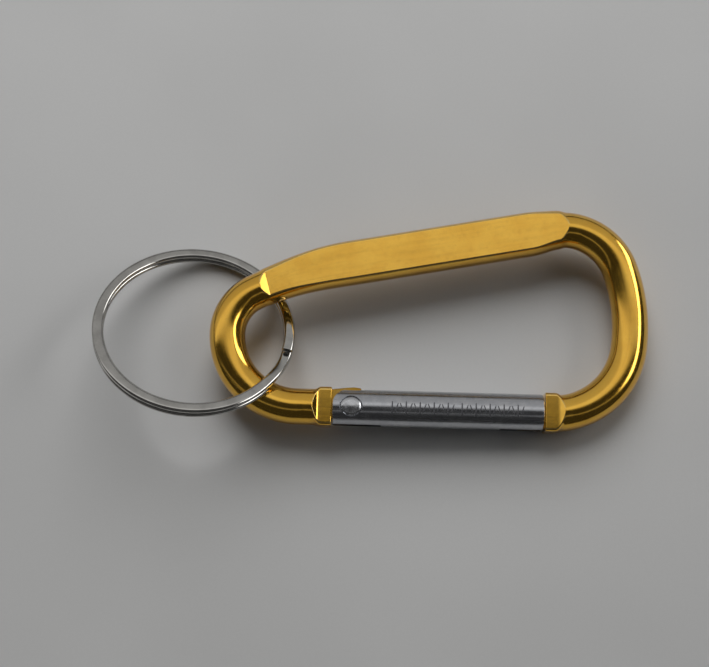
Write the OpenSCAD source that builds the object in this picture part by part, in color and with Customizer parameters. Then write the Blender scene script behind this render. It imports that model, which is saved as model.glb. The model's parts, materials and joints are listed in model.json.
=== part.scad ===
// Keyring carabiner: a bent aluminium rod with a pressed flat spine, a sprung
// round gate on a rivet, and a two-turn split ring threaded on the small bend.
// All lengths in millimetres, +Z up, lying flat as it rests on a table.

/* [Rod] */
// Diameter of the rod the loop is bent from
rod_d = 4.9; // [4.7:0.1:5.0]
// Centre-line radius of the bend beside the nose
nose_bend_r = 10.6; // [10.4:0.1:10.8]
// Centre-line radius of the bowed wide end
wide_end_r = 24; // [23:0.5:25]
// Centre-line radius of the bend from the wide end into the spine
spine_bend_r = 8.2; // [8:0.1:8.4]
// Centre-line radius of the curved part of the spine
spine_arc_r = 45; // [44:0.5:46]
// Centre-line radius of the upper half of the small bend
small_bend_r = 6.4; // [6.2:0.1:6.6]
// Centre-line radius of the lower half of the small bend
ring_bend_r = 9.9; // [9.8:0.1:10]

/* [Pressed spine] */
// Width of the pressed spine across its rounded sides
spine_w = 6.2; // [5.8:0.1:6.4]
// Thickness of the pressed spine between its two flats
spine_t = 3.8; // [3.4:0.1:4.2]
// How far each side of the spine bulges past the flat
spine_bulge = 0.6; // [0.4:0.1:0.7]
// Slope of the ramps where the flats run out into the round rod
ramp_slope = 26; // [22:1:34]

/* [Shoulders] */
// Width of the squared shoulders beside the gate
shoulder_w = 5.2; // [5.1:0.1:5.3]
// Thickness of the squared shoulders
shoulder_t = 3.6; // [3.4:0.1:3.8]
// Edge chamfer of the shoulders
shoulder_c = 0.3; // [0.2:0.05:0.4]

/* [Gate] */
// Diameter of the gate bar
gate_d = 5; // [4.9:0.1:5.1]
// Distance from the hinge rivet to the nose shoulder
gate_reach = 26; // [25.9:0.05:26.1]
// Gate bore for the spring and plunger
gate_bore_d = 3; // [2.9:0.05:3.1]
// Width of the sawn hinge slot
hinge_slot = 1.8; // [1.75:0.05:1.9]
// Width of the sawn nose slot
nose_slot = 1.5; // [1.45:0.05:1.6]

/* [Rivet] */
// Diameter of the rivet shank
rivet_d = 1.8; // [1.7:0.05:1.85]
// Diameter of the two rivet heads
rivet_head_d = 2.7; // [2.6:0.05:2.8]

/* [Spring and plunger] */
// Diameter of the plunger
plunger_d = 2.8; // [2.7:0.05:2.85]
// Wire diameter of the coil spring
spring_wire = 0.45; // [0.35:0.05:0.45]
// Number of coils in the spring
spring_turns = 9; // [7:1:11]

/* [Split ring] */
// Outside diameter of the split ring
ring_od = 27; // [26.8:0.1:27.1]
// Radial width of the ring wire
ring_wire_w = 1.4; // [1.3:0.05:1.45]
// Height of one turn of the ring wire
ring_wire_h = 0.85; // [0.75:0.05:0.85]
// How steeply the ring leans through the loop
ring_lean = 26.2; // [26:0.1:27]

/* [Hidden] */
$fn = 64;

rod_r = rod_d / 2;
gate_r = gate_d / 2;
flat_z = spine_t / 2;
sh_z = shoulder_t / 2;
tail_x = -2.6;                  // face of the hinge shoulder
nose_x = gate_reach;            // face of the nose shoulder
tang_t = hinge_slot - 0.2;
tab_t = nose_slot - 0.2;

// cam: the plunger's face meets the tang at this height and distance, and the
// tang's nose is an involute, so the plunger moves in step with the gate
cam_k = 1.0;
cam_x = 1.9;

// The loop's centre line starts at the nose shoulder and runs round to the
// hinge shoulder as a chain of bends: [radius, angle]; radius 0 is a straight.
start = [nose_x + 1.1, 0, 0];
a_nose = 82; a_wide = 26.5; a_spine = 82.5; a_arc = 17; a_small = 62; a_ring = 90;
function rise(r, h, a) = r * (cos(h) - cos(h + a));
straight_len = (rise(nose_bend_r, 0, a_nose) + rise(wide_end_r, a_nose, a_wide)
    + rise(spine_bend_r, a_nose + a_wide, a_spine) + rise(spine_arc_r, 191, a_arc)
    + rise(small_bend_r, 208, a_small) + rise(ring_bend_r, 270, a_ring)) / sin(11);
chain = [[nose_bend_r, a_nose], [wide_end_r, a_wide], [spine_bend_r, a_spine],
         [0, straight_len], [spine_arc_r, a_arc], [small_bend_r, a_small], [ring_bend_r, a_ring]];
function step(p, s) = s[0] == 0
    ? [p[0] + s[1] * cos(p[2]), p[1] + s[1] * sin(p[2]), p[2]]
    : [p[0] + s[0] * (sin(p[2] + s[1]) - sin(p[2])), p[1] + s[0] * (cos(p[2]) - cos(p[2] + s[1])), p[2] + s[1]];
function pose(i) = i == 0 ? start : step(pose(i - 1), chain[i - 1]);

// how the flat part lies on the table: it leans on the ring, which passes
// under the spine
lift = [-2.68, -12.8, 3.48];
lean_x = 4.4;
lean_y = 2;
module placed() translate(lift) rotate([lean_x, lean_y, 0]) children();

// lens section of the pressed spine, centred on the centre line
module spine_section(w, d = 0) {
    e = spine_bulge;
    q = (e * e + flat_z * flat_z) / (2 * e);
    intersection() {
        translate([w / 2 - q, 0]) circle(q);
        translate([q - w / 2, 0]) circle(q);
        square([10, spine_t + 0.7 - d], center = true);
    }
}

// lap between neighbouring lengths of rod, and the hair by which one is smaller
lap = 0.2;
hair = 0.01;
// one bend of the chain swept with its child section
module bend(i, from = 0, to = -1) {
    p = pose(i);
    r = chain[i][0];
    a = to < 0 ? chain[i][1] : to;
    translate([p[0] - r * sin(p[2]), p[1] + r * cos(p[2]), 0])
        rotate([0, 0, p[2] - 90 + from])
            rotate_extrude(angle = a - from) translate([r, 0]) children();
}

// what the press takes off above one flat: a level cut with a ramp at its end
module press(x, y, heading, len, z, slope, deep) {
    translate([x, y, 0]) rotate([0, 0, heading]) rotate([90, 0, 0])
        linear_extrude(14, center = true)
            polygon([[-len, z], [0, z], [deep / tan(slope), z + deep], [deep / tan(slope), z + 3], [-len, z + 3]]);
}
module press_both(x, y, heading, len, z, slope, deep) {
    press(x, y, heading, len, z, slope, deep);
    mirror([0, 0, 1]) press(x, y, heading, len, z, slope, deep);
}

// squared shoulder with chamfered edges, from x0 to x1
module shoulder(x0, x1) {
    w = shoulder_w / 2; t = sh_z; c = shoulder_c;
    translate([x0, 0, 0]) rotate([90, 0, 90]) linear_extrude(x1 - x0)
        polygon([[-w, -t + c], [-w + c, -t], [w - c, -t], [w, -t + c], [w, t - c], [w - c, t], [-w + c, t], [-w, t - c]]);
}

// tang outline with the involute cam nose that pushes the plunger
function cam(a) = [(cam_x + cam_k * a * PI / 180) * cos(a) - cam_k * sin(a),
                   (cam_x + cam_k * a * PI / 180) * sin(a) + cam_k * cos(a)];
module tang() {
    linear_extrude(tang_t, center = true)
        polygon(concat([[tail_x - 0.8, 2.3], [tail_x - 0.8, -1.6], [-0.4, -1.7], [0.8, -1.4], [1.6, -0.6], [cam_x, 0.3]],
                       [for (a = [0:3:45]) cam(a)], [[0.4, 2.7], [-1.6, 2.5]]));
}

module frame_body() color([0.78, 0.60, 0.20]) placed() difference() {
    union() {
        // round rod, with the spine left out; every second bend laps into its neighbours
        bend(0) circle(rod_r);
        bend(1, -lap / wide_end_r * 57, a_wide + lap / wide_end_r * 57) circle(rod_r - hair);
        bend(2, 0, 79) circle(rod_r);
        bend(4, 11, a_arc) circle(rod_r);
        bend(5, -lap / small_bend_r * 57, a_small + lap / small_bend_r * 57) circle(rod_r - hair);
        bend(6) circle(rod_r);
        q = pose(7);
        translate([q[0] - lap, q[1], 0]) rotate([0, 90, 0]) cylinder(r = rod_r - hair, h = tail_x - 1 - q[0] + lap);
        // pressed spine
        p = pose(3);
        translate([p[0], p[1], 0]) rotate([0, 0, p[2] + 90]) rotate([90, 0, 0])
            linear_extrude(straight_len) spine_section(spine_w);
        bend(4, -0.3, 9) spine_section(spine_w - 2 * hair, 2 * hair);
        // the spine narrows to the rod at both ends
        bend(4, 8.7, 12.5) spine_section(spine_w - 0.35, 4 * hair);
        bend(4, 12.2, 15.5) spine_section(spine_w - 0.9, 6 * hair);
        bend(2, 76, 83.5) spine_section(spine_w - 0.35, 4 * hair);
        bend(2, 71, 76.9) spine_section(spine_w - 0.9, 6 * hair);
        shoulder(tail_x - 1.9, tail_x);
        shoulder(nose_x, nose_x + 1.6);
        tang();
        // hooked tab inside the gate's nose slot
        translate([nose_x - 3, -2.1, -tab_t / 2]) cube([3.5, 3.1, tab_t]);
    }
    // flats of the spine and their ramps
    press_both(-11.85, 16.6, 196, 22, flat_z, ramp_slope, 0.7);
    press_both(28.1, 25.6, 2, 22, flat_z, ramp_slope, 0.7);
    // flats of the shoulders
    press_both(tail_x - 1.9, 0, 180, 1.9, sh_z, 45, 0.8);
    press_both(nose_x + 1.6, 0, 0, 1.6, sh_z, 45, 0.8);
    // rivet hole in the tang
    cylinder(d = rivet_d + 0.1, h = 6, center = true);
}

module gate() color([0.72, 0.73, 0.75]) placed() difference() {
    translate([tail_x + 0.1, 0, 0]) rotate([0, 90, 0]) cylinder(r = gate_r, h = nose_x - 0.3 - tail_x);
    // blind bore for the plunger and spring, drilled from the hinge end
    translate([tail_x - 1, 0, 0]) rotate([0, 90, 0]) cylinder(d = gate_bore_d, h = 17.6);
    // hinge slot, open on both sides beside the rivet
    translate([-5, -5, -hinge_slot / 2]) cube([6.2, 10, hinge_slot]);
    cylinder(r = 3.05, h = hinge_slot, center = true);
    translate([0.6, -5.6, 0]) cylinder(r = 4.8, h = hinge_slot, center = true);
    // relieved inner corner that swings past the shoulder
    difference() {
        translate([-5, 0, -4]) cube([5, 5, 8]);
        cylinder(r = 2.5, h = 20, center = true);
    }
    // nose slot, open on the outer side and closed by a web on the inner side
    translate([nose_x - 3.4, -5, -nose_slot / 2]) cube([6, 6.05, nose_slot]);
    translate([nose_x - 2.2, -5.7, 0]) cylinder(r = 5, h = nose_slot, center = true);
    // rivet seats
    cylinder(d = rivet_d + 0.04, h = 20, center = true);
    for (s = [-1, 1]) translate([0, 0, s * 3.4]) cylinder(d = rivet_head_d + 0.04, h = 3, center = true);
}

module hinge_rivet() color([0.66, 0.67, 0.69]) placed() intersection() {
    union() {
        cylinder(d = rivet_d, h = 6, center = true);
        for (s = [-1, 1]) translate([0, 0, s * 3.42]) cylinder(d = rivet_head_d, h = 3, center = true);
    }
    translate([-4, 0, 0]) rotate([0, 90, 0]) cylinder(r = gate_r - 0.02, h = 8);
}

module spring_plunger() color([0.6, 0.6, 0.62]) placed() {
    translate([cam_x + 0.02, 0, 0]) rotate([0, 90, 0]) union() {
        cylinder(d = plunger_d, h = 3.2);
        translate([0, 0, 3]) cylinder(d = 1.5, h = 2.4);
    }
}

// helical wire, swept as a six-sided tube
module coil(r, wire, turns, len, n) {
    m = turns * n;
    pts = [for (i = [0:m]) for (k = [0:5])
        let (a = i * 360 / n, q = r + wire / 2 * cos(k * 60)) [i * len / m + wire / 2 * sin(k * 60), q * cos(a), q * sin(a)]];
    polyhedron(points = pts, faces = concat(
        [for (i = [0:m - 1]) for (k = [0:5])
            [i * 6 + k, i * 6 + (k + 1) % 6, (i + 1) * 6 + (k + 1) % 6, (i + 1) * 6 + k]],
        [[5, 4, 3, 2, 1, 0], [for (k = [0:5]) m * 6 + k]]));
}

module gate_spring() color([0.55, 0.56, 0.58]) placed()
    translate([cam_x + 3.5, 0, 0]) coil(1.1, spring_wire, spring_turns, 8.2, 16);

// two flattened turns of the split ring with the jog between them
ring_jog = 28;
ring_end = -12;
module ring_section() {
    w = ring_wire_w / 2; h = ring_wire_h / 2; c = 0.22;
    polygon([[-w, -h + c], [-w + c, -h], [w - c, -h], [w, -h + c], [w, h - c], [w - c, h], [-w + c, h], [-w, h - c]]);
}
ring_r = ring_od / 2 - ring_wire_w / 2;
module ring_slice(a, z) rotate([0, 0, a]) translate([ring_r, 0.03, z]) rotate([90, 0, 0])
    linear_extrude(0.06) ring_section();
ring_c = [-21.55, 10.05, 0.95];
ring_dir = 73.6;
module split_ring() color([0.62, 0.61, 0.58]) placed()
    translate(ring_c) rotate([0, 0, ring_dir]) rotate([0, ring_lean, 0]) rotate([0, 0, ring_end - ring_dir]) {
        z = ring_wire_h / 2;
        for (s = [-1, 1]) translate([0, 0, s * z]) rotate_extrude(angle = 360 - ring_jog) translate([ring_r, 0]) ring_section();
        for (k = [0, 1]) hull() {
            ring_slice(-ring_jog * (1 - k / 2), (k - 1) * z);
            ring_slice(-ring_jog * (1 - k) / 2, k * z);
        }
    }

frame_body();
gate();
hinge_rivet();
spring_plunger();
gate_spring();
split_ring();
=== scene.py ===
import json
import math

import bmesh
import bpy
import numpy as np
from mathutils import Matrix, Vector


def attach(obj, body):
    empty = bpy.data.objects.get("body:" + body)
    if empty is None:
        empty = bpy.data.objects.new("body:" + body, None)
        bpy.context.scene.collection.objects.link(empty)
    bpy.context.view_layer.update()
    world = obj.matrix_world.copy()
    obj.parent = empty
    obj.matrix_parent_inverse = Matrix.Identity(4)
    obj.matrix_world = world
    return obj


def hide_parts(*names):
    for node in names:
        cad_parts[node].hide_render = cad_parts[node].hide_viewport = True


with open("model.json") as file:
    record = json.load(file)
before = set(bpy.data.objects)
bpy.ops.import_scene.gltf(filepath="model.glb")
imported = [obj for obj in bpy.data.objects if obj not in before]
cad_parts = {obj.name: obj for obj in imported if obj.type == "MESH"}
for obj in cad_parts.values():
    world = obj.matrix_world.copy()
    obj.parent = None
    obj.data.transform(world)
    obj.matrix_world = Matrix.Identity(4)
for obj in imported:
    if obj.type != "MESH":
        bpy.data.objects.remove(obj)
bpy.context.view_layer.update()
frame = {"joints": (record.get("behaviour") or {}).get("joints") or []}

# ---------------------------------------------------------------- part frame
# The flat part has a frame of its own: origin on the rivet's axis, x along the
# gate towards the nose, y towards the spine, z up through the rivet. Lengths
# in it are millimetres; place() takes them to the row frame in metres.
JOINTS = {j["name"]: j for j in frame["joints"]}
AX = np.array(JOINTS["plunger_slide"]["axis"], float)
AZ = np.array(JOINTS["gate_hinge"]["axis"], float)
AX /= np.linalg.norm(AX)
AZ = AZ - AX * (AZ @ AX)
AZ /= np.linalg.norm(AZ)
AY = np.cross(AZ, AX)
BASIS = np.column_stack([AX, AY, AZ])
ORIGIN = np.array(JOINTS["gate_hinge"]["pos_m"], float)


def place(points):
    return np.asarray(points, float) @ BASIS.T / 1000.0 + ORIGIN


def smooth(x, a, b):
    t = min(1.0, max(0.0, (x - a) / (b - a)))
    return t * t * (3 - 2 * t)


def rad(a):
    return a * math.pi / 180


# ---------------------------------------------------------------- mesh tools
def make_object(name, verts, faces, mats=(), uvs=None, face_mats=None):
    """A mesh object from points in millimetres in the part's frame."""
    me = bpy.data.meshes.new(name)
    me.from_pydata([tuple(v) for v in place(verts)], [], faces)
    for m in mats:
        me.materials.append(m)
    if uvs is not None:
        layer = me.uv_layers.new(name="UVMap")
        layer.data.foreach_set("uv", np.asarray(uvs, np.float32).ravel())
    if face_mats is not None:
        me.polygons.foreach_set("material_index", np.asarray(face_mats, np.int32))
    bm = bmesh.new()
    bm.from_mesh(me)
    bmesh.ops.recalc_face_normals(bm, faces=bm.faces)
    bm.to_mesh(me)
    bm.free()
    ob = bpy.data.objects.new(name, me)
    bpy.context.scene.collection.objects.link(ob)
    return ob


def shade(ob, angle=32.0, weighted=True):
    """Smooth faces with sharp edges above the angle."""
    me = ob.data
    bm = bmesh.new()
    bm.from_mesh(me)
    for f in bm.faces:
        f.smooth = True
    for e in bm.edges:
        e.smooth = not (len(e.link_faces) == 2 and e.calc_face_angle(0) > rad(angle))
    bm.to_mesh(me)
    bm.free()
    if weighted:
        m = ob.modifiers.new("normals", "WEIGHTED_NORMAL")
        m.keep_sharp = True
        m.weight = 50
    return ob


def bake_modifiers(ob):
    deps = bpy.context.evaluated_depsgraph_get()
    deps.update()
    me = bpy.data.meshes.new_from_object(ob.evaluated_get(deps))
    old = ob.data
    ob.modifiers.clear()
    ob.data = me
    bpy.data.meshes.remove(old)
    return ob


def boolean(ob, cutter, op):
    m = ob.modifiers.new("b", "BOOLEAN")
    m.operation = op
    m.solver = "EXACT"
    m.object = cutter
    bpy.context.view_layer.update()
    bake_modifiers(ob)
    me = cutter.data
    bpy.data.objects.remove(cutter)
    bpy.data.meshes.remove(me)
    return ob


def clean(ob, dist=2e-7):
    """Merges doubled points and drops slivers left by a cut."""
    bm = bmesh.new()
    bm.from_mesh(ob.data)
    bmesh.ops.remove_doubles(bm, verts=bm.verts, dist=dist)
    bmesh.ops.dissolve_degenerate(bm, edges=bm.edges, dist=dist)
    bm.to_mesh(ob.data)
    bm.free()
    return ob


def lathe(name, profile, n, axis="x", mats=(), at=(0, 0, 0)):
    """A closed solid of revolution from (along, radius) pairs that start and end on the axis."""
    verts, faces, uvs = [], [], []
    rows = []
    for along, r in profile:
        if r < 1e-9:
            rows.append([len(verts)])
            verts.append((along, 0, 0))
        else:
            row = []
            for k in range(n):
                a = 2 * math.pi * k / n
                row.append(len(verts))
                verts.append((along, r * math.cos(a), r * math.sin(a)))
            rows.append(row)
    length = [0.0]
    for p, q in zip(profile, profile[1:]):
        length.append(length[-1] + math.hypot(q[0] - p[0], q[1] - p[1]))
    for i in range(len(rows) - 1):
        a, b = rows[i], rows[i + 1]
        for k in range(n):
            k2 = (k + 1) % n
            u0, u1, v0, v1 = length[i] / 10, length[i + 1] / 10, k / n, (k + 1) / n
            if len(a) == 1:
                faces.append((a[0], b[k2], b[k]))
                uvs += [(u0, v0), (u1, v1), (u1, v0)]
            elif len(b) == 1:
                faces.append((a[k], a[k2], b[0]))
                uvs += [(u0, v0), (u0, v1), (u1, v0)]
            else:
                faces.append((a[k], a[k2], b[k2], b[k]))
                uvs += [(u0, v0), (u0, v1), (u1, v1), (u1, v0)]
    v = np.array(verts, float)
    if axis == "z":
        v = v[:, [1, 2, 0]]
    v = v + np.array(at, float)
    return make_object(name, v, faces, mats, uvs)


def prism(name, outline, z0, z1, mats=()):
    n = len(outline)
    verts = [(x, y, z0) for x, y in outline] + [(x, y, z1) for x, y in outline]
    faces = [tuple(range(n))[::-1], tuple(range(n, 2 * n))]
    faces += [(k, (k + 1) % n, n + (k + 1) % n, n + k) for k in range(n)]
    return make_object(name, verts, faces, mats)


def box_solid(name, x0, x1, y0, y1, z0, z1, mats=()):
    return prism(name, [(x0, y0), (x1, y0), (x1, y1), (x0, y1)], z0, z1, mats)


# ---------------------------------------------------------------- materials
def nodes_of(name):
    mat = bpy.data.materials.new(name)
    mat.use_nodes = True
    nt = mat.node_tree
    bsdf = nt.nodes["Principled BSDF"]
    return mat, nt, bsdf


def noise(nt, vector, scale, detail=3.0, rough=0.55, dims="3D"):
    n = nt.nodes.new("ShaderNodeTexNoise")
    n.noise_dimensions = dims
    n.inputs["Scale"].default_value = scale
    n.inputs["Detail"].default_value = detail
    n.inputs["Roughness"].default_value = rough
    nt.links.new(vector, n.inputs["Vector"])
    return n.outputs["Fac"]


def remap(nt, value, a, b, lo, hi):
    m = nt.nodes.new("ShaderNodeMapRange")
    m.interpolation_type = "SMOOTHSTEP"
    m.inputs["From Min"].default_value = a
    m.inputs["From Max"].default_value = b
    m.inputs["To Min"].default_value = lo
    m.inputs["To Max"].default_value = hi
    nt.links.new(value, m.inputs["Value"])
    return m.outputs["Result"]


def mix_colour(nt, fac, a, b, mode="MIX"):
    m = nt.nodes.new("ShaderNodeMix")
    m.data_type = "RGBA"
    m.blend_type = mode
    for sock, v in ((6, a), (7, b)):
        if isinstance(v, tuple):
            m.inputs[sock].default_value = (*v, 1.0)
        else:
            nt.links.new(v, m.inputs[sock])
    if isinstance(fac, float):
        m.inputs[0].default_value = fac
    else:
        nt.links.new(fac, m.inputs[0])
    return m.outputs[2]


def math_node(nt, op, a, b=None):
    m = nt.nodes.new("ShaderNodeMath")
    m.operation = op
    for i, v in enumerate((a, b)):
        if v is None:
            continue
        if isinstance(v, (int, float)):
            m.inputs[i].default_value = v
        else:
            nt.links.new(v, m.inputs[i])
    return m.outputs[0]


def scaled(nt, output, sx, sy, sz):
    """A texture coordinate, stretched."""
    tc = nt.nodes.new("ShaderNodeTexCoord")
    mp = nt.nodes.new("ShaderNodeMapping")
    mp.inputs["Scale"].default_value = (sx, sy, sz)
    nt.links.new(tc.outputs[output], mp.inputs["Vector"])
    return mp.outputs["Vector"]


def bump(nt, height, strength, distance, normal=None):
    b = nt.nodes.new("ShaderNodeBump")
    b.inputs["Strength"].default_value = strength
    b.inputs["Distance"].default_value = distance
    nt.links.new(height, b.inputs["Height"])
    if normal is not None:
        nt.links.new(normal, b.inputs["Normal"])
    return b.outputs["Normal"]


def attribute(nt, name):
    a = nt.nodes.new("ShaderNodeAttribute")
    a.attribute_name = name
    return a.outputs["Fac"]


def gold_material():
    mat, nt, bsdf = nodes_of("gold_anodised_aluminium")
    mm = scaled(nt, "Object", 1000, 1000, 1000)
    tone = noise(nt, mm, 0.22, 3)
    cloud = noise(nt, mm, 1.6, 4)
    speck = noise(nt, mm, 9.0, 2)
    drawn = noise(nt, scaled(nt, "UV", 0.9, 90, 1), 1.0, 4, 0.6, "2D")
    base = mix_colour(nt, remap(nt, tone, 0.35, 0.65, 0, 1), (0.80, 0.445, 0.052), (0.86, 0.50, 0.066))
    base = mix_colour(nt, remap(nt, cloud, 0.55, 0.8, 0, 0.16), base, (0.70, 0.37, 0.040))
    # painted highlight: a paler gold painted along the rims of the pressed flats, speckled by noise, standing in for
    # the light those rims catch
    painted_rim_highlight = math_node(nt, "MULTIPLY", attribute(nt, "edge"), remap(nt, speck, 0.35, 0.7, 0.25, 1.0))
    base = mix_colour(nt, painted_rim_highlight, base, (0.90, 0.70, 0.30))
    nt.links.new(base, bsdf.inputs["Base Color"])
    bsdf.inputs["Metallic"].default_value = 1.0
    rough = math_node(nt, "ADD", remap(nt, drawn, 0.3, 0.7, 0.10, 0.17), remap(nt, cloud, 0.4, 0.75, 0.0, 0.05))
    nt.links.new(rough, bsdf.inputs["Roughness"])
    bsdf.inputs["Coat Weight"].default_value = 0.35
    bsdf.inputs["Coat Roughness"].default_value = 0.06
    bsdf.inputs["Coat IOR"].default_value = 1.6
    n1 = bump(nt, drawn, 0.12, 2.0e-6)
    n2 = bump(nt, speck, 0.05, 4.0e-6, n1)
    nt.links.new(n2, bsdf.inputs["Normal"])
    return mat


def aluminium_material():
    mat, nt, bsdf = nodes_of("turned_clear_aluminium")
    mm = scaled(nt, "Object", 1000, 1000, 1000)
    cloud = noise(nt, mm, 0.9, 4)
    speck = noise(nt, mm, 7.0, 3)
    drawn = noise(nt, scaled(nt, "UV", 1.2, 110, 1), 1.0, 4, 0.6, "2D")
    rings = noise(nt, scaled(nt, "UV", 160, 2.0, 1), 1.0, 2, 0.5, "2D")
    base = mix_colour(nt, remap(nt, cloud, 0.4, 0.7, 0, 1), (0.44, 0.45, 0.475), (0.52, 0.525, 0.545))
    base = mix_colour(nt, remap(nt, speck, 0.62, 0.85, 0, 0.5), base, (0.30, 0.31, 0.33))
    nt.links.new(base, bsdf.inputs["Base Color"])
    bsdf.inputs["Metallic"].default_value = 1.0
    nt.links.new(remap(nt, drawn, 0.3, 0.7, 0.18, 0.28), bsdf.inputs["Roughness"])
    bsdf.inputs["Coat Weight"].default_value = 0.15
    bsdf.inputs["Coat Roughness"].default_value = 0.12
    n1 = bump(nt, drawn, 0.25, 3.0e-6)
    n2 = bump(nt, rings, 0.10, 2.0e-6, n1)
    nt.links.new(n2, bsdf.inputs["Normal"])
    return mat


def engraved_material():
    mat, nt, bsdf = nodes_of("engraved_marks")
    mm = scaled(nt, "Object", 1000, 1000, 1000)
    grain = noise(nt, mm, 14.0, 3)
    nt.links.new(mix_colour(nt, remap(nt, grain, 0.3, 0.7, 0, 1), (0.13, 0.13, 0.14), (0.24, 0.24, 0.26)), bsdf.inputs["Base Color"])
    bsdf.inputs["Metallic"].default_value = 0.8
    nt.links.new(remap(nt, grain, 0.3, 0.7, 0.45, 0.6), bsdf.inputs["Roughness"])
    nt.links.new(bump(nt, grain, 0.4, 6.0e-6), bsdf.inputs["Normal"])
    return mat


def steel_material(name, light, dark, r0, r1, grain=1.0):
    mat, nt, bsdf = nodes_of(name)
    mm = scaled(nt, "Object", 1000, 1000, 1000)
    cloud = noise(nt, mm, 0.8 * grain, 4)
    speck = noise(nt, mm, 8.0 * grain, 3)
    drawn = noise(nt, scaled(nt, "UV", 1.0, 60, 1), 1.0, 4, 0.6, "2D")
    base = mix_colour(nt, remap(nt, cloud, 0.35, 0.7, 0, 1), light, dark)
    base = mix_colour(nt, remap(nt, speck, 0.60, 0.82, 0, 0.4), base, tuple(0.55 * c for c in dark))
    nt.links.new(base, bsdf.inputs["Base Color"])
    bsdf.inputs["Metallic"].default_value = 1.0
    nt.links.new(remap(nt, drawn, 0.3, 0.7, r0, r1), bsdf.inputs["Roughness"])
    n1 = bump(nt, drawn, 0.2, 3.0e-6)
    n2 = bump(nt, speck, 0.08, 4.0e-6, n1)
    nt.links.new(n2, bsdf.inputs["Normal"])
    return mat


GOLD = gold_material()
ALU = aluminium_material()
ENGRAVED = engraved_material()
RIVET = steel_material("rivet_aluminium", (0.62, 0.63, 0.65), (0.50, 0.51, 0.53), 0.20, 0.32, 1.5)
SPRING = steel_material("spring_steel_wire", (0.50, 0.51, 0.53), (0.38, 0.39, 0.41), 0.22, 0.35)
PLUNGER = steel_material("plunger_turned_steel", (0.56, 0.56, 0.58), (0.42, 0.42, 0.44), 0.18, 0.30)
NICKEL = steel_material("nickel_plated_wire", (0.50, 0.49, 0.465), (0.40, 0.39, 0.37), 0.06, 0.13, 0.6)

# ---------------------------------------------------------------- loop
ROD = 2.45
FLAT_Z = 1.9
SH_Z = 1.8


def rise(r, h, a):
    return r * (math.cos(rad(h)) - math.cos(rad(h + a)))


BENDS = [(10.6, 82), (24, 26.5), (8.2, 82.5), None, (45, 17), (6.4, 62), (9.9, 90)]
STRAIGHT = (rise(10.6, 0, 82) + rise(24, 82, 26.5) + rise(8.2, 108.5, 82.5) + rise(45, 191, 17)
            + rise(6.4, 208, 62) + rise(9.9, 270, 90)) / math.sin(rad(11))
SEGS = []  # [s0, s1, x, y, heading, radius]


def build_path():
    x, y, h, s = 26.0, 0.0, 0.0, 0.0

    def line(length):
        nonlocal x, y, s
        SEGS.append((s, s + length, x, y, h, 0.0))
        x += length * math.cos(rad(h))
        y += length * math.sin(rad(h))
        s += length

    line(1.1)
    for b in BENDS:
        if b is None:
            line(STRAIGHT)
            continue
        r, a = b
        length = r * rad(a)
        SEGS.append((s, s + length, x, y, h, r))
        x += r * (math.sin(rad(h + a)) - math.sin(rad(h)))
        y += r * (math.cos(rad(h)) - math.cos(rad(h + a)))
        h += a
        s += length
    line(-2.6 - x)
    return s


S_END = build_path()


def path_at(s):
    s = min(max(s, 0.0), S_END)
    for s0, s1, x, y, h, r in SEGS:
        if s <= s1 + 1e-9:
            d = s - s0
            if r == 0:
                return x + d * math.cos(rad(h)), y + d * math.sin(rad(h)), h
            a = d / r * 180 / math.pi
            return (x + r * (math.sin(rad(h + a)) - math.sin(rad(h))),
                    y + r * (math.cos(rad(h)) - math.cos(rad(h + a))), h + a)
    return x, y, h


PRESS_R = (28.1, 25.6, 2.0)
PRESS_L = (-11.85, 16.6, 196.0)


def beyond(s, press):
    x, y, _ = path_at(s)
    px, py, h = press
    return (x - px) * math.cos(rad(h)) + (y - py) * math.sin(rad(h))


def crossing(press, a, b):
    """The length along the path at which it crosses a press edge, by halving."""
    fa = beyond(a, press)
    for _ in range(50):
        m = (a + b) / 2
        if (beyond(m, press) > 0) == (fa > 0):
            a = m
        else:
            b = m
    return (a + b) / 2


S_SPINE0 = SEGS[3][0] + 4.0
S_SPINE1 = SEGS[5][0]
S_R = crossing(PRESS_R, S_SPINE0, SEGS[4][0])
S_L = crossing(PRESS_L, SEGS[4][1], SEGS[6][0] + 6)
APEX_R = (ROD - FLAT_Z) / math.tan(rad(26))
APEX_L = (ROD - FLAT_Z) / math.tan(rad(27))


def soft_ramp(t, slope, fillet):
    """Height gained past a press edge: the slope starts at nothing and is full after the fillet."""
    if t <= 0:
        return 0.0
    if t < fillet:
        return slope * t * t / (2 * fillet)
    return slope * (t - fillet / 2)


SH0 = 1.45          # end of the nose shoulder's flat along the path
SH1 = S_END - 1.5   # start of the hinge shoulder's flat
SH_SLOPE, SH_FILLET = 0.85, 0.7
SH_APEX = (ROD - SH_Z) / SH_SLOPE + SH_FILLET / 2


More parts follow.
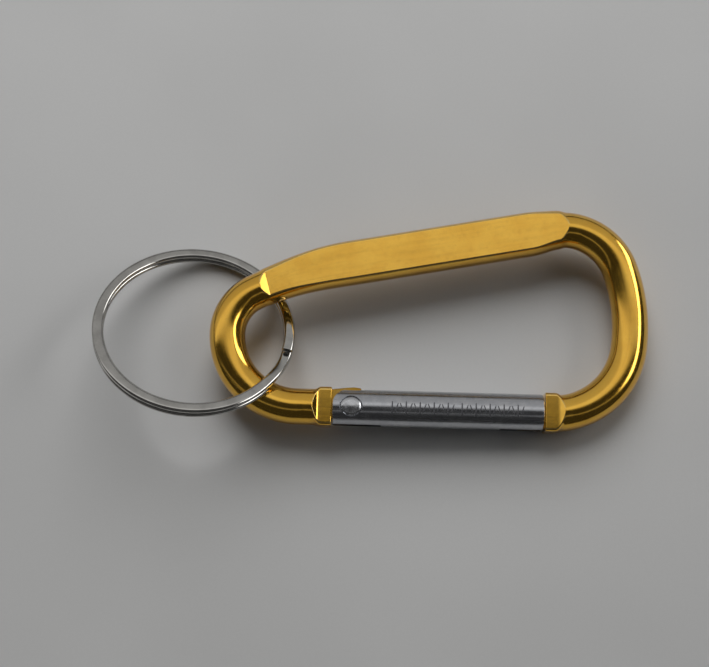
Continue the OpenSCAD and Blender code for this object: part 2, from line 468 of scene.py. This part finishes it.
def station(s):
    """Everything that the section needs at one place along the path."""
    x, y, h = path_at(s)
    W, b, kind, zc, skew, edge = ROD, 0.0, "lens", None, 0.0, 0.0
    if s < SH0 + SH_APEX + 6:
        t = s - SH0
        kind = "rect"
        zc = SH_Z + soft_ramp(t, SH_SLOPE, SH_FILLET)
        b = 1 - smooth(t, -0.1, SH_APEX) if t < SH_APEX else 0.0
        W = ROD + 0.10 * b
        skew = (0.0 - h) * (1 - smooth(t, SH_APEX + 0.3, SH_APEX + 4))
    elif s > SH1 - SH_APEX - 6:
        t = SH1 - s
        kind = "rect"
        zc = SH_Z + soft_ramp(t, SH_SLOPE, SH_FILLET)
        b = 1 - smooth(t, -0.1, SH_APEX) if t < SH_APEX else 0.0
        W = ROD + 0.10 * b
        skew = (360.0 - h) * (1 - smooth(t, SH_APEX + 0.3, SH_APEX + 4))
    elif S_R - 8 < s < S_L + 8:
        tr, tl = S_R - s, s - S_L
        if s < (S_R + S_L) / 2:
            t = beyond(s, PRESS_R)
            zc = FLAT_Z + max(0.0, t) * math.tan(rad(26))
            inside = -t
            skew = (182.0 - h) * (1 - smooth(abs(t - APEX_R / 2), APEX_R / 2 + 0.3, APEX_R / 2 + 4))
            W = ROD + 0.22 * smooth(-t, -APEX_R, 0) + 0.43 * smooth(-t, -0.9, 4.5)
            b = 0.50 * smooth(-t, -APEX_R, 0) + 0.50 * smooth(-t, -0.4, 4.0)
        else:
            t = beyond(s, PRESS_L)
            zc = FLAT_Z + max(0.0, t) * math.tan(rad(27))
            inside = -t
            skew = (196.0 - h) * (1 - smooth(abs(t - APEX_L / 2), APEX_L / 2 + 0.3, APEX_L / 2 + 4))
            W = ROD + 0.10 * smooth(-t, -APEX_L, 0) + 0.55 * smooth(-t, -1.0, 12.0)
            b = 0.28 * smooth(-t, -APEX_L, 0) + 0.72 * smooth(-t, -0.5, 7.5)
    return x, y, h, W, b, kind, zc, skew


Q = (0.6 * 0.6 + FLAT_Z * FLAT_Z) / 1.2
TOP_U = [0.0, 0.30, 0.56, 0.78, 0.92, 0.98]


def side_x(z, W, b, kind):
    r = W * math.sqrt(max(0.0, 1 - (z / ROD) ** 2))
    if b <= 0:
        return r
    if kind == "lens":
        f = W - Q + math.sqrt(max(0.0, Q * Q - z * z))
    else:
        f = 2.6 - max(0.0, abs(z) - 1.5)
    return (1 - b) * r + b * f


def quadrant(W, b, kind, zc, wide):
    """Section points from the top of the middle round to the side, and how much each lies on a pressed edge."""
    pts, edge = [], []
    clipped = zc is not None and zc < ROD - 0.004
    if clipped:
        a = side_x(zc, W, b, kind)
        d = min(0.13, 0.35 * a)
        for u in TOP_U:
            pts.append((u * (a - d), zc))
            edge.append(0.0)
        z2 = zc - 0.9 * d
        p0, p1, p2 = (a - d, zc), (a, zc), (side_x(z2, W, b, kind), z2)
        for t in (0.0, 0.3, 0.6, 1.0):
            pts.append(((1 - t) ** 2 * p0[0] + 2 * t * (1 - t) * p1[0] + t * t * p2[0],
                        (1 - t) ** 2 * p0[1] + 2 * t * (1 - t) * p1[1] + t * t * p2[1]))
            # these weights place the painted highlight along the flat's rim
            edge.append((0.5, 1.0, 0.8, 0.3)[(0.0, 0.3, 0.6, 1.0).index(t)])
        f0 = math.asin(min(1.0, z2 / ROD))
    else:
        top = math.acos(min(1.0, wide / ROD))   # angle up from the side
        f0 = top - rad(3.5)
        a = math.pi / 2 - top
        for u in TOP_U:
            f = math.pi / 2 - u * a * 0.97
            pts.append((W * math.cos(f), ROD * math.sin(f)))
            edge.append(0.0)
        g0 = math.pi / 2 - 0.97 * a * 1.0
        for t in (0.0, 0.3, 0.6, 1.0):
            f = g0 + (f0 - g0) * t
            pts.append((W * math.cos(f), ROD * math.sin(f)))
            edge.append(0.0)
    n = 11
    for k in range(1, n + 1):
        f = f0 * (1 - k / n)
        z = ROD * math.sin(f)
        pts.append((side_x(z, W, b, kind), z))
        edge.append(0.0)
    return pts, edge


def ring_of(q):
    q = list(q)
    br = [(x, -z) for x, z in q[::-1][1:]]
    bl = [(-x, -z) for x, z in q[1:]]
    tl = [(-x, z) for x, z in q[::-1][1:-1]]
    return q + br + bl + tl


def stations_list():
    out = set()

    def add(a, b, step):
        n = max(1, int(round((b - a) / step)))
        for k in range(n + 1):
            out.add(round(a + (b - a) * k / n, 4))

    # shoulders, with a small round where the end faces begin
    for d in (0.0, 0.03, 0.08, 0.14):
        out.add(round(d, 4))
        out.add(round(S_END - d, 4))
    add(0.3, SH0, 0.25)
    add(SH0, SH0 + SH_APEX + 0.3, 0.07)
    add(SH1 - SH_APEX - 0.3, SH1, 0.07)
    add(SH1, S_END - 0.3, 0.25)
    # spine ends
    add(S_R, S_R + 0.3, 0.1)
    add(S_R - APEX_R - 0.4, S_R, 0.07)
    add(S_L - 0.3, S_L, 0.1)
    add(S_L, S_L + APEX_L + 0.4, 0.07)
    # the rest
    a = SH0 + SH_APEX + 0.3
    add(a + 0.2, a + 3, 0.25)
    add(a + 3, S_R - APEX_R - 1.6, 0.55)
    add(S_R - APEX_R - 1.6, S_R - APEX_R - 0.4, 0.15)
    add(S_R + 0.3, S_R + 7, 0.4)
    add(S_R + 7, S_L - 8, 0.9)
    add(S_L - 8, S_L - 0.3, 0.4)
    add(S_L + APEX_L + 0.4, S_L + APEX_L + 1.6, 0.15)
    b = SH1 - SH_APEX - 0.3
    add(S_L + APEX_L + 1.6, b - 3, 0.45)
    add(b - 3, b - 0.2, 0.25)
    s = sorted(out)
    keep = [s[0]]
    for v in s[1:]:
        if v - keep[-1] > 0.019:
            keep.append(v)
    keep[-1] = S_END
    return keep


def build_loop():
    ss = stations_list()
    rings, edges = [], []
    for s in ss:
        x, y, h, W, b, kind, zc, skew = station(s)
        # away from a press mark the top strip opens out again to a fixed width
        wide = 1.2
        for apex, side in ((SH0 + SH_APEX, 1), (S_R - APEX_R, -1), (S_L + APEX_L, 1), (SH1 - SH_APEX, -1)):
            t = (s - apex) * side
            if -0.6 < t < 3.0:
                wide = min(wide, 0.20 + 1.0 * smooth(t, -0.2, 3.0))
        pts, edge = quadrant(W, b, kind, zc, wide)
        end = min(s, S_END - s)
        if end < 0.1401:
            drop = 0.14 - math.sqrt(max(0.0, 0.14 ** 2 - (0.14 - end) ** 2))
            pts = [(px * (1 - drop / 2.6), pz * (1 - drop / 1.8)) for px, pz in pts]
        ring = ring_of(pts)
        e = ring_of([(v, 0) for v in edge])
        e = [abs(v[0]) for v in e]
        la = rad(h + 90 + skew)
        k = 1 / math.cos(rad(skew))
        lx, ly = math.cos(la) * k, math.sin(la) * k
        rings.append([(x + px * lx, y + px * ly, pz) for px, pz in ring])
        edges.append(e)
    n = len(rings[0])
    verts = [p for r in rings for p in r]
    painted_rim_highlight = [v for r in edges for v in r]
    faces, uvs = [], []
    for i in range(len(rings) - 1):
        for k in range(n):
            k2 = (k + 1) % n
            faces.append((i * n + k, i * n + k2, (i + 1) * n + k2, (i + 1) * n + k))
            u0, u1, v0, v1 = ss[i] / 10, ss[i + 1] / 10, k / n, (k + 1) / n
            uvs += [(u0, v0), (u0, v1), (u1, v1), (u1, v0)]
    faces.append(tuple(range(n))[::-1])
    uvs += [(0.2 * p[1], 0.2 * p[2]) for p in rings[0][::-1]]
    faces.append(tuple((len(rings) - 1) * n + k for k in range(n)))
    uvs += [(0.2 * p[1], 0.2 * p[2]) for p in rings[-1]]
    ob = make_object("gold_loop", verts, faces, [GOLD], uvs)
    # per-point weights of the painted rim highlight, stored in the edge attribute
    a = ob.data.attributes.new("edge", "FLOAT", "POINT")
    a.data.foreach_set("value", np.asarray(painted_rim_highlight, np.float32))
    return ob


def bevelled_prism(name, outline, half, c, mats):
    """A plate with a small chamfer round both faces, from an outline that runs anticlockwise."""
    n = len(outline)
    pts = np.array(outline, float)
    inner = []
    for i in range(n):
        p, q, r = pts[i - 1], pts[i], pts[(i + 1) % n]
        d1, d2 = q - p, r - q
        d1 /= np.linalg.norm(d1) + 1e-12
        d2 /= np.linalg.norm(d2) + 1e-12
        m = np.array([-(d1[1] + d2[1]), d1[0] + d2[0]])
        m /= np.linalg.norm(m) + 1e-12
        cosine = max(0.5, float(m @ np.array([-d1[1], d1[0]])))
        inner.append(q + m * c / cosine)
    rows = [(inner, -half), (pts, -half + c), (pts, half - c), (inner, half)]
    verts = [(p[0], p[1], z) for row, z in rows for p in row]
    faces = [tuple(range(n))[::-1], tuple(3 * n + k for k in range(n))]
    for j in range(3):
        faces += [(j * n + k, j * n + (k + 1) % n, (j + 1) * n + (k + 1) % n, (j + 1) * n + k) for k in range(n)]
    return make_object(name, verts, faces, mats)


def cam_point(a):
    t = 1.9 + 1.0 * rad(a)
    return (t * math.cos(rad(a)) - math.sin(rad(a)), t * math.sin(rad(a)) + math.cos(rad(a)))


loop = build_loop()
tang_outline = ([(-3.4, 2.3), (-3.4, -1.6), (-0.4, -1.7), (0.3, -1.57), (0.8, -1.4), (1.25, -1.05), (1.6, -0.6), (1.82, -0.1), (1.9, 0.3)]
                + [cam_point(a) for a in range(0, 46, 3)] + [(0.4, 2.7), (-0.6, 2.63), (-1.6, 2.5)])
tang = bevelled_prism("tang", tang_outline, 0.8, 0.07, [GOLD])
hole = lathe("hole", [(-3, 0), (-3, 0.95), (3, 0.95), (3, 0)], 48, "z", [GOLD])
boolean(tang, hole, "DIFFERENCE")
tab = bevelled_prism("tab", [(23.0, -1.9), (23.2, -2.1), (26.5, -2.1), (26.5, 1.0), (23.25, 1.0), (23.0, 0.75)], 0.65, 0.07, [GOLD])
boolean(loop, tang, "UNION")
boolean(loop, tab, "UNION")
clean(loop)
shade(loop, 40)


def crease_presses(ob):
    """The two ends of the spine's flats are crisp lines."""
    bm = bmesh.new()
    bm.from_mesh(ob.data)
    near = {}
    for v in bm.verts:
        p = (np.array(v.co) - ORIGIN) @ BASIS * 1000
        if abs(abs(p[2]) - FLAT_Z) < 0.02:
            for i, (px, py, h) in enumerate((PRESS_R, PRESS_L)):
                if abs((p[0] - px) * math.cos(rad(h)) + (p[1] - py) * math.sin(rad(h))) < 0.015 and abs(p[0] - px) < 5:
                    near[v] = i
    for e in bm.edges:
        a, b = e.verts
        if a in near and b in near and near[a] == near[b]:
            e.smooth = False
    bm.to_mesh(ob.data)
    bm.free()


crease_presses(loop)
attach(loop, "loop")
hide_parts("frame_body")

# ---------------------------------------------------------------- gate
GR = 2.5


def engraved_bar(x0, slant, y0, y1, w, depth=0.05):
    """A cutter whose floor follows the gate's round surface."""
    steps = 8
    verts, faces = [], []
    for k in range(steps + 1):
        y = y0 + (y1 - y0) * k / steps
        zb = math.sqrt((GR - depth) ** 2 - y * y)
        # rounded ends to each bar
        end = min(k, steps - k) / 1.5
        ww = w * min(1.0, 0.55 + 0.45 * end)
        xc = x0 + slant * y
        verts += [(xc - ww / 2, y, zb), (xc + ww / 2, y, zb), (xc + ww / 2, y, 3.2), (xc - ww / 2, y, 3.2)]
    for k in range(steps):
        a, b = 4 * k, 4 * (k + 1)
        for j in range(4):
            j2 = (j + 1) % 4
            faces.append((a + j, a + j2, b + j2, b + j))
    faces.append((3, 2, 1, 0))
    faces.append(tuple(4 * steps + j for j in range(4)))
    return verts, faces


def engraving():
    verts, faces = [], []

    def put(v, f):
        base = len(verts)
        verts.extend(v)
        faces.extend(tuple(base + i for i in q) for q in f)

    # plain graduation: long and short ticks in two runs, and nothing to read
    x = 5.5
    k = 0
    while x < 23.3:
        if not 13.6 < x < 14.7:
            long_tick = k % 3 == 0
            lean = (0.0, 0.35, -0.35)[k % 3]
            y0, y1 = (-0.95, 0.75) if long_tick else (-0.70, 0.52)
            put(*engraved_bar(x, lean, y0, y1, 0.20 if long_tick else 0.17))
        x += 0.62
        k += 1
    return make_object("marks", verts, faces, [ALU, ENGRAVED], None, [1] * len(faces))


def build_gate():
    xs = [-2.5, -2.5, -2.47, -2.40, -2.30]
    rs = [0.0, 2.30, 2.40, 2.47, 2.50]
    prof = list(zip(xs, rs)) + [(x, GR) for x in (-1.6, 0, 1.6, 4.5, 24.0, 25.0)] + \
        [(25.62, 2.50), (25.72, 2.47), (25.78, 2.40), (25.80, 2.30), (25.80, 0.0)]
    ob = lathe("gate_bar", prof, 128, "x", [ALU, ENGRAVED])
    boolean(ob, engraving(), "DIFFERENCE")
    # counterbore for the rivet with a small countersink at its rim
    for s in (-1, 1):
        seat = lathe("seat", [(0.0, 0), (0.0, 0.92), (1.9, 0.92), (1.9, 1.40), (2.26, 1.40), (2.60, 1.62), (3.4, 1.62), (3.4, 0)], 64, "z", [ALU])
        if s < 0:
            seat.data.transform(Matrix.Identity(4))
            me = seat.data
            co = np.array([v.co for v in me.vertices], float)
            k = (co - ORIGIN) @ BASIS * 1000
            k[:, 2] *= -1
            co = k @ BASIS.T / 1000 + ORIGIN
            me.vertices.foreach_set("co", co.astype(np.float32).ravel())
            me.flip_normals()
            me.update()
        boolean(ob, seat, "DIFFERENCE")
    bore = lathe("bore", [(-3.6, 0), (-3.6, 1.5), (13.9, 1.5), (14.6, 0)], 64, "x", [ALU])
    boolean(ob, bore, "DIFFERENCE")
    slot_line = [(-5.0, -6.0), (-5.0, 5.0), (1.2, 5.0)]
    slot_line += [(3.05 * math.cos(rad(a)), 3.05 * math.sin(rad(a))) for a in np.linspace(66.8, -25.45, 36)]
    slot_line += [(0.6 + 4.8 * math.cos(rad(a)), -5.6 + 4.8 * math.sin(rad(a))) for a in np.linspace(63.33, -4.8, 30)[1:]]
    boolean(ob, prism("slot", slot_line, -0.9, 0.9, [ALU]), "DIFFERENCE")
    # inner corner relieved round the rivet
    arc = [(2.5 * math.cos(rad(a)), 2.5 * math.sin(rad(a))) for a in range(90, 181, 5)]
    relief = prism("relief", [(0.0, 5.0)] + arc + [(-5.0, 0.0), (-5.0, 5.0)], -4, 4, [ALU])
    boolean(ob, relief, "DIFFERENCE")
    nose_line = [(28.6, 1.05), (22.6, 1.05)]
    nose_line += [(22.6, -0.85)]
    nose_line += [(23.8 + 5.0 * math.cos(rad(a)), -5.7 + 5.0 * math.sin(rad(a))) for a in np.linspace(104.0, 180.0, 36)]
    nose_line += [(28.6, -5.7)]
    boolean(ob, prism("nose", nose_line, -0.75, 0.75, [ALU]), "DIFFERENCE")
    return clean(ob)


gate = build_gate()
shade(gate, 28)
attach(gate, "gate")
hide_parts("gate")


# ---------------------------------------------------------------- rivet
def build_rivet():
    n = 64
    verts, faces = [], []

    def row(r, z_fn):
        base = len(verts)
        for k in range(n):
            a = 2 * math.pi * k / n
            x, y = r * math.cos(a), r * math.sin(a)
            verts.append((x, y, z_fn(x, y)))
        return base

    def crown(x, y):
        r = math.hypot(x, y)
        return math.sqrt(2.47 ** 2 - y * y) - 0.05 * smooth(r, 0.95, 0.55) - 0.11 * smooth(r, 1.12, 1.35)

    rows = []
    for r in (0.02, 0.3, 0.5, 0.6, 0.7, 0.8, 0.9, 1.0, 1.1, 1.18, 1.25, 1.31, 1.35):
        rows.append(row(r, crown))
    rows.append(row(1.35, lambda x, y: 2.0))
    rows.append(row(1.32, lambda x, y: 1.92))
    rows.append(row(0.92, lambda x, y: 1.92))
    rows.append(row(0.90, lambda x, y: 1.90))
    rows.append(row(0.90, lambda x, y: 0.95))
    rows.append(row(0.90, lambda x, y: -0.95))
    rows.append(row(0.90, lambda x, y: -1.90))
    rows.append(row(0.92, lambda x, y: -1.92))
    rows.append(row(1.32, lambda x, y: -1.92))
    rows.append(row(1.35, lambda x, y: -2.0))
    for r in (1.35, 1.31, 1.25, 1.18, 1.1, 1.0, 0.9, 0.8, 0.7, 0.6, 0.5, 0.3, 0.02):
        rows.append(row(r, lambda x, y: -crown(x, y)))
    uvs = []
    for i in range(len(rows) - 1):
        for k in range(n):
            k2 = (k + 1) % n
            faces.append((rows[i] + k, rows[i] + k2, rows[i + 1] + k2, rows[i + 1] + k))
            uvs += [(i / 40, k / n), (i / 40, (k + 1) / n), ((i + 1) / 40, (k + 1) / n), ((i + 1) / 40, k / n)]
    faces.append(tuple(rows[0] + k for k in range(n)))
    uvs += [(0, k / n) for k in range(n)]
    faces.append(tuple(rows[-1] + k for k in range(n))[::-1])
    uvs += [(1, k / n) for k in range(n)]
    return make_object("hinge_rivet_turned", verts, faces, [RIVET], uvs)


rivet = build_rivet()
shade(rivet, 45)
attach(rivet, "gate")
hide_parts("hinge_rivet")

# ---------------------------------------------------------------- plunger and spring
plunger = lathe("plunger_turned", [(1.92, 0), (1.92, 1.22), (1.96, 1.33), (2.06, 1.40), (3.2, 1.40), (3.3, 1.36), (3.42, 1.36), (3.52, 1.40),
                                   (4.98, 1.40), (5.08, 1.36), (5.12, 1.26), (5.12, 0.84), (5.2, 0.75), (7.14, 0.75), (7.28, 0.68), (7.32, 0.56), (7.32, 0)],
                64, "x", [PLUNGER])
shade(plunger, 40)
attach(plunger, "plunger")
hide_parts("spring_plunger")


def sweep(name, centres, frames, section, mats, closed_ends=True, chamfer=0.0, u_scale=0.1):
    """A closed tube: a section of (a, b) pairs carried along centres with side vectors a and b."""
    n = len(section)
    rows, length = [], [0.0]
    for p, q in zip(centres, centres[1:]):
        length.append(length[-1] + float(np.linalg.norm(np.array(q) - np.array(p))))
    total = length[-1]
    verts = []
    for i, (c, (ea, eb)) in enumerate(zip(centres, frames)):
        end = min(length[i], total - length[i])
        k = 0.0
        if chamfer and end < chamfer:
            k = chamfer - math.sqrt(max(0.0, chamfer ** 2 - (chamfer - end) ** 2))
        for a, b in section:
            ka = a - math.copysign(min(abs(a), k), a)
            kb = b - math.copysign(min(abs(b), k), b)
            verts.append(np.array(c) + ka * np.array(ea) + kb * np.array(eb))
    faces, uvs = [], []
    m = len(centres)
    for i in range(m - 1):
        for k in range(n):
            k2 = (k + 1) % n
            faces.append((i * n + k, i * n + k2, (i + 1) * n + k2, (i + 1) * n + k))
            u0, u1 = length[i] * u_scale, length[i + 1] * u_scale
            uvs += [(u0, k / n), (u0, (k + 1) / n), (u1, (k + 1) / n), (u1, k / n)]
    faces.append(tuple(range(n))[::-1])
    uvs += [(0.05 * a, 0.05 * b) for a, b in section[::-1]]
    faces.append(tuple((m - 1) * n + k for k in range(n)))
    uvs += [(0.05 * a, 0.05 * b) for a, b in section]
    return make_object(name, np.array(verts), faces, mats, uvs)


def build_spring():
    # drawn clear of the plunger's full travel, because the coil itself stays rigid
    wire, r, turns, x0, length = 0.45, 1.1, 9.0, 6.2, 7.4
    per = 32
    centres, frames = [], []
    m = int(turns * per)
    closed = 0.9
    for i in range(m + 1):
        t = i / per
        # closed coils at both ends, even pitch between
        e0 = min(t, closed) / closed
        pitch_mid = (length - 2 * wire * closed) / (turns - 2 * closed)
        if t < closed:
            x = wire * t
        elif t > turns - closed:
            x = length - wire * (turns - t)
        else:
            x = wire * closed + (t - closed) * pitch_mid
        a = 2 * math.pi * t
        centres.append(np.array([x0 + x, r * math.cos(a), r * math.sin(a)]))
        frames.append((np.array([1.0, 0, 0]), np.array([0, math.cos(a), math.sin(a)])))
    sec = [(wire / 2 * math.cos(2 * math.pi * k / 12), wire / 2 * math.sin(2 * math.pi * k / 12)) for k in range(12)]
    return sweep("gate_spring_coil", centres, frames, sec, [SPRING], chamfer=0.05)


spring = build_spring()
shade(spring, 50)
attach(spring, "gate")
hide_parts("gate_spring")


# ---------------------------------------------------------------- split ring
def rz(a):
    c, s = math.cos(rad(a)), math.sin(rad(a))
    return np.array([[c, -s, 0], [s, c, 0], [0, 0, 1.0]])


def ry(a):
    c, s = math.cos(rad(a)), math.sin(rad(a))
    return np.array([[c, 0, s], [0, 1, 0], [-s, 0, c]])


def rounded(w, h, r, seg):
    pts = []
    for cx, cy, a0 in ((w / 2 - r, h / 2 - r, 0), (-w / 2 + r, h / 2 - r, 90), (-w / 2 + r, -h / 2 + r, 180), (w / 2 - r, -h / 2 + r, 270)):
        for k in range(seg + 1):
            a = rad(a0 + 90 * k / seg)
            pts.append((cx + r * math.cos(a), cy + r * math.sin(a)))
    return pts


def build_ring():
    jog, mean, h = 28.0, 12.92, 0.85
    centre = np.array([-21.55, 10.05, 0.95])
    turn = rz(73.6) @ ry(26.2) @ rz(-12 - 73.6)
    total = 2 * 360 - jog
    angles = [0, 0.12, 0.3, 0.6]
    a = 1.5
    while a < total - 1.4:
        angles.append(a)
        a += 2.0
    angles += [total - 0.6, total - 0.3, total - 0.12, total]
    centres, frames = [], []
    for a in angles:
        # the first turn is the upper one; the wire steps down across the gap
        t = (a - (360 - jog)) / jog
        z = h / 2 - h * (smooth(t, 0.0, 1.0))
        e = np.array([math.cos(rad(a)), math.sin(rad(a)), 0])
        centres.append(turn @ (mean * e + np.array([0, 0, z])) + centre)
        frames.append((turn @ e, turn @ np.array([0, 0, 1.0])))
    # crowned wire: nearly oval, so each turn shows its own line of light
    sec = []
    for k in range(36):
        a = 2 * math.pi * (k + 0.5) / 36
        c, d = math.cos(a), math.sin(a)
        sec.append((0.75 * math.copysign(abs(c) ** 0.84, c), 0.4175 * math.copysign(abs(d) ** 0.84, d)))
    return sweep("split_ring_wire", centres, frames, sec, [NICKEL], chamfer=0.10)


ring = build_ring()
shade(ring, 40)
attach(ring, "ring")
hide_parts("split_ring")

# ---------------------------------------------------------------- floor
def floor_material():
    mat, nt, bsdf = nodes_of("plain_grey_paper")
    mm = scaled(nt, "Object", 1000, 1000, 1000)
    fibre = noise(nt, mm, 3.0, 4)
    broad = noise(nt, mm, 0.02, 2)
    base = mix_colour(nt, remap(nt, broad, 0.3, 0.7, 0, 1), (0.60, 0.60, 0.595), (0.64, 0.64, 0.635))
    base = mix_colour(nt, remap(nt, fibre, 0.3, 0.7, 0, 0.12), base, (0.54, 0.54, 0.54))
    nt.links.new(base, bsdf.inputs["Base Color"])
    bsdf.inputs["Roughness"].default_value = 0.75
    bsdf.inputs["Specular IOR Level"].default_value = 0.25
    nt.links.new(bump(nt, fibre, 0.05, 2.0e-5), bsdf.inputs["Normal"])
    return mat


def build_floor():
    me = bpy.data.meshes.new("floor")
    s = 1.6
    me.from_pydata([(-s, -s, 0), (s, -s, 0), (s, s, 0), (-s, s, 0)], [], [(0, 1, 2, 3)])
    me.materials.append(floor_material())
    ob = bpy.data.objects.new("floor", me)
    bpy.context.scene.collection.objects.link(ob)
    return ob


build_floor()


# ---------------------------------------------------------------- light
def build_world():
    """A soft studio: one large dim panel overhead and behind, a narrow bright one to the right, dark in front."""
    world = bpy.data.worlds.new("studio")
    bpy.context.scene.world = world
    world.use_nodes = True
    nt = world.node_tree
    bg = nt.nodes["Background"]
    tc = nt.nodes.new("ShaderNodeTexCoord")
    sep = nt.nodes.new("ShaderNodeSeparateXYZ")
    nt.links.new(tc.outputs["Generated"], sep.inputs[0])
    x, y, z = sep.outputs
    deg = 180 / math.pi
    ay = math_node(nt, "MULTIPLY", math_node(nt, "ARCTAN2", y, z), deg)
    ax = math_node(nt, "MULTIPLY", math_node(nt, "ARCSINE", x), deg)

    def band(v, a0, a1, b0, b1):
        return math_node(nt, "MULTIPLY", remap(nt, v, a0, a1, 0, 1), remap(nt, v, b0, b1, 1, 0))

    panel = math_node(nt, "MULTIPLY", band(ay, 0.5, 7.5, 74, 86), band(ax, -84, -70, 38, 43))
    # brightest just behind the zenith, and evenly dimmer beyond it
    level = math_node(nt, "ADD", remap(nt, ay, 30, 75, 0.45, 0.38), math_node(nt, "MULTIPLY", band(ay, 2, 12, 20, 32), 0.29))
    panel = math_node(nt, "MULTIPLY", panel, level)
    strip = math_node(nt, "MULTIPLY", band(ax, 43, 45.5, 56, 60), band(ay, -35, -10, 70, 80))
    strip = math_node(nt, "MULTIPLY", strip, 4.2)
    low = math_node(nt, "MULTIPLY", band(ay, -37, -34, -30, -27), band(ax, -70, -60, 40, 50))
    low = math_node(nt, "MULTIPLY", low, 0.24)
    total = math_node(nt, "ADD", math_node(nt, "ADD", panel, strip), math_node(nt, "ADD", low, 0.035))
    lp = nt.nodes.new("ShaderNodeLightPath")
    diffuse = lp.outputs["Is Diffuse Ray"]
    dim = math_node(nt, "SUBTRACT", 1.0, math_node(nt, "MULTIPLY", diffuse, 0.84))
    bg.inputs["Color"].default_value = (1.0, 0.995, 0.985, 1)
    nt.links.new(math_node(nt, "MULTIPLY", total, dim), bg.inputs["Strength"])
    return world


build_world()


def area(name, at, to, energy, size):
    """A soft light for the floor; the metal shows the studio panels alone."""
    ld = bpy.data.lights.new(name, "AREA")
    ld.energy = energy
    ld.shape = "DISK"
    ld.size = size
    ob = bpy.data.objects.new(name, ld)
    ob.location = at
    d = Vector(to) - Vector(at)
    ob.rotation_euler = d.to_track_quat("-Z", "Y").to_euler()
    bpy.context.scene.collection.objects.link(ob)
    ob.visible_glossy = False
    return ob


area("back_softbox", (-0.03, 0.40, 0.34), (0.0, 0.05, 0.0), 2.1, 0.45)

# ---------------------------------------------------------------- camera
el = rad(79)
back = np.array([0, -math.cos(el), math.sin(el)])
right = np.array([1.0, 0, 0])
up = np.cross(back, right)
# the camera is set in a frame turned 1.59 degrees from the part's own
turn = rz(1.59)
cam_pos = turn @ (back * 164.0) + np.array([0.19, 10.25, 0])
axes = turn @ np.column_stack([right, up, back])
cam_pos_m = place([cam_pos])[0]
axes = BASIS @ axes
cd = bpy.data.cameras.new("camera")
cd.sensor_fit = "HORIZONTAL"
cd.sensor_width = 36.0
cd.lens = 36.0 * 1200 / 709
cd.clip_start = 0.005
cd.clip_end = 20
cam = bpy.data.objects.new("camera", cd)
m = Matrix([[*axes[0], cam_pos_m[0]], [*axes[1], cam_pos_m[1]], [*axes[2], cam_pos_m[2]], [0, 0, 0, 1]])
cam.matrix_world = m
bpy.context.scene.collection.objects.link(cam)
bpy.context.scene.camera = cam
bpy.context.scene.view_settings.view_transform = "Standard"
bpy.context.scene.view_settings.look = "None"

bpy.context.view_layer.update()
